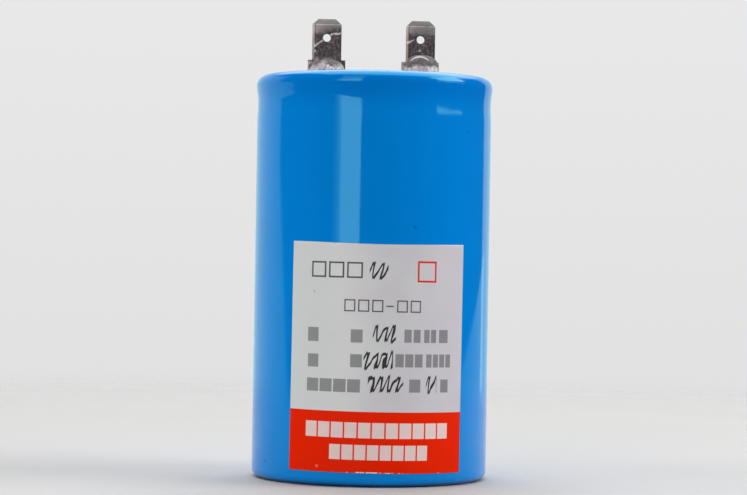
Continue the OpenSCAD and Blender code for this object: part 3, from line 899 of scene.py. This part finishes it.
def drawn_aluminium():
    """Plain drawn aluminium with fine rings from the press and faint scratches."""
    f = Finish("drawn_aluminium")
    p = f.place()
    x, y, z = f.axes(p)
    dark, light = rgb(0.60, 0.61, 0.63), rgb(0.80, 0.81, 0.82)
    rings = f.noise(f.joined(across(x, y) * 6, z * 6, 0), 1, detail=3)
    cloud = f.noise(p, 5, detail=3)
    scratches = f.step(f.noise(f.joined(x * 0.2, y * 3, z), 0.8, detail=3), 0.66, 0.72)
    colour = f.mix(rings * 0.5 + cloud * 0.5, dark, light)
    return f.surface(base_color=colour, metallic=1.0, roughness=0.28 + cloud * 0.15 + scratches * 0.2,
                     normal=f.bump(rings, 0.006))


def moulded(name, dark, light, roughness):
    """Moulded plastic or rubber: a fine grain, flow marks and a little dust."""
    f = Finish(name)
    p = f.place()
    dust_grey = rgb(0.6, 0.58, 0.55)
    flow = f.noise(p, 6, detail=3, distortion=0.8)
    fine = f.noise(p, 0.35, detail=3)
    dust = f.step(f.noise(p, 0.4), 0.68, 0.74)
    colour = f.mix(flow * 0.6 + fine * 0.4, dark, light)
    colour = f.mix(dust * 0.25, colour, dust_grey)
    return f.surface(base_color=colour, roughness=roughness + fine * 0.12 + dust * 0.1,
                     normal=f.bump(fine, 0.008))


def plated(name, dark, light, roughness, patch=1.2):
    """Plated or tinned metal with a mottled surface and small pits."""
    f = Finish(name)
    p = f.place()
    mottle = f.noise(p, patch, detail=4, roughness=0.6)
    pits = f.step(f.noise(p, 0.25), 0.64, 0.72)
    colour = f.mix(mottle - pits * 0.3, dark, light)
    return f.surface(base_color=colour, metallic=1.0, roughness=roughness + mottle * 0.2,
                     normal=f.bump(mottle - pits, 0.01))


def bright_solder():
    """Bright solder with dull patches of flux."""
    f = Finish("bright_solder")
    p = f.place()
    dark, light = rgb(0.34, 0.33, 0.33), rgb(0.66, 0.65, 0.64)
    patch = f.noise(p, 1.1, detail=3, roughness=0.55, distortion=0.8)
    fine = f.noise(p, 0.3, detail=3)
    colour = f.mix(f.step(patch, 0.4, 0.65), dark, light)
    return f.surface(base_color=colour, metallic=0.7, roughness=0.3 + f.step(patch, 0.6, 0.4) * 0.2,
                     normal=f.bump(patch * 2 + fine, 0.05))


def wound_film():
    """Edge-on turns of metallised film: fine rings at the ends and faint lines round the side."""
    f = Finish("wound_film")
    p = f.place()
    x, y, z = f.axes(p)
    dark, light = rgb(0.48, 0.47, 0.42), rgb(0.70, 0.69, 0.64)
    turns = f.noise(f.joined(across(x, y) * 9, 0, z * 0.2), 1)
    cloud = f.noise(p, 8)
    colour = f.mix(turns * 0.7 + cloud * 0.3, dark, light)
    return f.surface(base_color=colour, metallic=0.35, roughness=0.25 + turns * 0.15,
                     normal=f.bump(turns, 0.01))


def sprayed_zinc():
    """Zinc sprayed on as fine grains."""
    f = Finish("sprayed_zinc")
    p = f.place()
    dark, light = rgb(0.20, 0.21, 0.22), rgb(0.46, 0.47, 0.49)
    grains = f.noise(p, 0.3, detail=4, roughness=0.7)
    cloud = f.noise(p, 3)
    colour = f.mix(grains * 0.6 + cloud * 0.4, dark, light)
    return f.surface(base_color=colour, metallic=0.8, roughness=0.6 + grains * 0.2,
                     normal=f.bump(grains, 0.06))


def amber_resin():
    """Cast resin, amber and slightly cloudy, with small bubbles."""
    f = Finish("amber_resin")
    p = f.place()
    dark, light, bubble = rgb(0.56, 0.44, 0.18), rgb(0.76, 0.66, 0.36), rgb(0.86, 0.80, 0.60)
    cloud = f.noise(p, 7, detail=3, roughness=0.6, distortion=1)
    bubbles = f.step(f.noise(p, 0.7, detail=1), 0.74, 0.78)
    colour = f.mix(cloud, dark, light)
    colour = f.mix(bubbles * 0.5, colour, bubble)
    return f.surface(base_color=colour, roughness=0.12 + cloud * 0.1, normal=f.bump(bubbles, 0.03))


# Finish of each node that stays, by the start of the node's name. A moulded or plated finish takes a name,
# a dark tone, a light tone and a roughness, and the wire's also the size of its patches
NODE_FINISHES = {
    "aluminium_can": (drawn_aluminium,),
    "lid": (moulded, "dark_phenolic", rgb(0.020, 0.013, 0.010), rgb(0.045, 0.030, 0.022), 0.34),
    "lid_gasket": (moulded, "black_rubber", rgb(0.012, 0.012, 0.012), rgb(0.035, 0.035, 0.036), 0.6),
    "eyelet": (plated, "tinned_eyelet", rgb(0.40, 0.36, 0.28), rgb(0.66, 0.62, 0.52), 0.25),
    "washer": (plated, "steel_washer", rgb(0.36, 0.36, 0.37), rgb(0.58, 0.58, 0.58), 0.3),
    "film_element": (wound_film,),
    "winding_core": (moulded, "core_plastic", rgb(0.70, 0.70, 0.66), rgb(0.82, 0.82, 0.78), 0.4),
    "end_spray": (sprayed_zinc,),
    "lead_tube": (moulded, "white_tubing", rgb(0.66, 0.64, 0.58), rgb(0.80, 0.78, 0.72), 0.5),
    "lead": (plated, "tinned_wire", rgb(0.46, 0.44, 0.40), rgb(0.70, 0.68, 0.63), 0.22, 0.8),
    "solder_joint": (bright_solder,),
    "resin_fill": (amber_resin,),
    "can_liner": (moulded, "milky_sheet", rgb(0.68, 0.67, 0.60), rgb(0.80, 0.79, 0.72), 0.35),
    "base_insulator": (moulded, "white_plastic", rgb(0.60, 0.60, 0.57), rgb(0.76, 0.76, 0.73), 0.42),
}


def dress_nodes():
    """Gives each CAD node that stays its finish. One finish serves all nodes whose names start alike."""
    for start in sorted(NODE_FINISHES, key=len, reverse=True):
        members = [node for name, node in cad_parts.items()
                   if name.startswith(start) and not node.hide_render and not node.get("dressed")]
        if members:
            make, *settings = NODE_FINISHES[start]
            finish = make(*settings)
            for node in members:
                node.data.materials.clear()
                node.data.materials.append(finish)
                node["dressed"] = True


# ---------------------------------------------------------------- studio

AHEAD = Vector((math.sin(VIEW_TURN), math.cos(VIEW_TURN), 0))
RIGHT = Vector((math.cos(VIEW_TURN), -math.sin(VIEW_TURN), 0))
MIDDLE = Vector((0, 0, 50 * MM))
FOOT = Vector((0, 0, 0))
LAMP_FAR = 0.9


def from_view(azimuth, elevation):
    """A direction from the object: 0 is towards the camera, and azimuths grow to the camera's right."""
    a, e = math.radians(azimuth), math.radians(elevation)
    return (math.sin(a) * RIGHT - math.cos(a) * AHEAD) * math.cos(e) + math.sin(e) * UP


def make_camera():
    """The camera, about level with the case's middle, looking straight ahead with a slight roll."""
    data = bpy.data.cameras.new("camera")
    data.lens = VIEW_LENS
    data.sensor_width = SENSOR_WIDTH
    camera = bpy.data.objects.new("camera", data)
    bpy.context.scene.collection.objects.link(camera)
    side = math.cos(VIEW_ROLL) * RIGHT + math.sin(VIEW_ROLL) * UP
    top = -math.sin(VIEW_ROLL) * RIGHT + math.cos(VIEW_ROLL) * UP
    turn = Matrix((side, top, -AHEAD)).transposed()
    place = Matrix.Translation(-VIEW_FAR * AHEAD + VIEW_ASIDE * RIGHT + VIEW_HIGH * UP)
    camera.matrix_world = place @ turn.to_4x4()
    bpy.context.scene.camera = camera


def make_lamp(name, azimuth, elevation, width, height, brightness, colour=(1, 1, 1), roll=0,
              distance=LAMP_FAR, aim=MIDDLE, seen_in=("diffuse", "glossy")):
    """A soft rectangular lamp that faces the object. Brightness is that of its surface."""
    data = bpy.data.lights.new(name, "AREA")
    data.shape = "RECTANGLE"
    data.size, data.size_y = width, height
    data.energy = math.pi * brightness * width * height
    data.color = colour
    lamp = bpy.data.objects.new(name, data)
    bpy.context.scene.collection.objects.link(lamp)
    direction = from_view(azimuth, elevation)
    lamp.location = aim + distance * direction
    lamp.rotation_mode = "QUATERNION"
    facing = direction.to_track_quat("Z", "Y")
    lamp.rotation_quaternion = facing @ Quaternion((0, 0, 1), math.radians(roll))
    lamp.visible_diffuse = "diffuse" in seen_in
    lamp.visible_glossy = "glossy" in seen_in


def make_lamps():
    """A window at the left with soft edges, a key lamp at the right, fill and top light, and the edge of a
    pale sheet that only reflections show."""
    make_lamp("window", azimuth=-22, elevation=8.9, width=0.31, height=0.32, brightness=3.6,
              colour=(1.38, 0.93, 1), seen_in=("glossy",))
    make_lamp("window_light", azimuth=-22, elevation=7.2, width=0.31, height=0.26, brightness=3.8,
              seen_in=("diffuse",))
    for i, brightness in enumerate((1.8, 1.1, 0.6, 0.3)):
        make_lamp(f"window_edge_{i}", azimuth=-33 - 1.8 * i, elevation=7.2, width=0.028, height=0.26,
                  brightness=brightness)
    make_lamp("window_top", azimuth=-22, elevation=32, width=0.3, height=0.5, brightness=1.35,
              colour=(1.25, 1, 1))
    make_lamp("key", azimuth=84, elevation=34, width=0.5, height=0.42, brightness=6.7)
    make_lamp("key_foot", azimuth=79, elevation=10.9, width=0.5, height=0.05, brightness=3.5)
    make_lamp("fill_left", azimuth=-72, elevation=42, width=0.5, height=0.42, brightness=3.1,
              seen_in=("diffuse",))
    make_lamp("overhead", azimuth=180, elevation=66, width=0.7, height=0.6, brightness=3.2,
              seen_in=("diffuse",))
    make_lamp("paper_edge", azimuth=116, elevation=0, width=0.31, height=0.05, brightness=0.85,
              colour=(0.66, 0.98, 0.9), roll=9, distance=0.35, aim=FOOT, seen_in=("glossy",))


def make_room():
    """The world: a white sweep at the left and behind, a dim room in front, and a bright ceiling that only
    reflections show. Past the table the camera sees a plain pale backdrop."""
    world = bpy.data.worlds.new("room")
    bpy.context.scene.world = world
    f = Finish("room", world)
    ray = f.node("ShaderNodeTexCoord", output="Generated")
    ahead = f.along(ray, -AHEAD)
    side = f.along(ray, RIGHT)
    height = f.axes(ray)[2]
    degrees = 180 / math.pi
    azimuth = f.math("ARCTAN2", side, ahead) * degrees
    elevation = f.math("ARCSINE", height) * degrees
    seen = f.node("ShaderNodeLightPath", output="Is Camera Ray")
    mirrored = f.node("ShaderNodeLightPath", output="Is Glossy Ray")

    # The sweep's edge stands upright, and leans outwards near the floor
    sweep_from, sweep_to = -101, -107
    lean = f.math("MINIMUM", f.math("MAXIMUM", 1.9 - elevation, 0) * 3.1, 19)
    leaning = f.step(azimuth - lean, sweep_from, sweep_to) * (0.3 + 0.7 * f.step(elevation, -8, -5.5))
    upright = f.step(azimuth, sweep_from, sweep_to)
    sweep = f.math("MAXIMUM", upright, leaning)
    sweep = sweep * (1 - mirrored * f.step(elevation, 26, 40))
    sweep = (sweep + f.step(azimuth, 136, 138)) * f.step(elevation, 85, 60)
    dim = 0.17 - mirrored * 0.13 + f.step(elevation, 45, 85) * 0.25
    level = f.math("MAXIMUM", sweep, dim)
    lit = f.mix(level, ROOM_BLACK, f.mix(mirrored, ROOM_WHITE, SWEEP_GLOSS))

    # The ceiling is a round bright field behind the object
    off_middle = f.along(ray, from_view(173, 72))
    ceiling = f.step(off_middle, math.cos(math.radians(48)), math.cos(math.radians(42))) * mirrored
    ceiling = ceiling * (0.12 + f.step(elevation, 22, 52) * 0.88) * f.step(side, -0.58, -0.46)
    lit = f.mix(ceiling, lit, CEILING_GLOSS)
    backdrop = f.mix(f.step(elevation, 12, -8), BACKDROP_HIGH, BACKDROP_LOW)
    shine = f.node("ShaderNodeBackground", None, {"Color": f.mix(seen, lit, backdrop), "Strength": 1.0})
    f.node("ShaderNodeOutputWorld", None, {"Surface": shine}, None)


def make_table():
    """The pale table top round the object. It thins out into the backdrop."""
    piece = primitive("circle", "table_top", vertices=128, radius=TABLE_R, fill_type="NGON")
    f = Finish("pale_cloth")
    p = f.place()
    x, y, _ = f.axes(p)
    weave = f.noise(p, 1.2, detail=3)
    folds = f.noise(p, 40)
    colour = f.mix(weave * 0.4 + folds * 0.6, CLOTH_DARK, CLOTH_LIGHT)
    finish = f.surface(base_color=colour, roughness=0.8, specular_ior_level=0.2,
                       alpha=f.step(across(x, y), 440, 220), normal=f.bump(weave, 0.05))
    piece.data.materials.append(finish)


# ---------------------------------------------------------------- the whole

make_camera()
make_sleeve()
make_label()
for node in ("terminal_left", "terminal_right"):
    make_terminal(node)
for node in ("solder_dome_left", "solder_dome_right"):
    make_dome(node)
dress_nodes()
make_room()
make_table()
make_lamps()

bpy.context.scene.view_settings.view_transform = "Standard"
